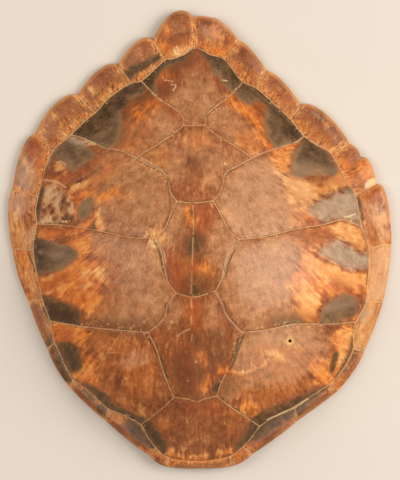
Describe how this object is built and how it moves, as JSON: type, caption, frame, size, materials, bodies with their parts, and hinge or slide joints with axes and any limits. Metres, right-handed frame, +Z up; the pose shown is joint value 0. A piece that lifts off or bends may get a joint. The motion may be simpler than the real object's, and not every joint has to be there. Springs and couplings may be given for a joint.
{
  "type": "sea turtle shell",
  "caption": "Low domed upper shell of a green sea turtle, egg-shaped in plan, with scute seams, a scalloped tail rim and a hollow underside.",
  "frame": {"origin": "on the table under the middle of the shell's bounding box, the shell lying on its rim with the hollow side down", "axes": "+Z up out of the dome, +Y towards the tail end, +X towards the shell's right side as seen from above with the tail away from the viewer"},
  "size_m": [0.4702, 0.5604, 0.1256],
  "materials": {
    "shell": "polished horn, red-brown with dark and amber markings"
  },
  "bodies": {
    "root": {"carapace": "shell"}
  },
  "joints": []
}
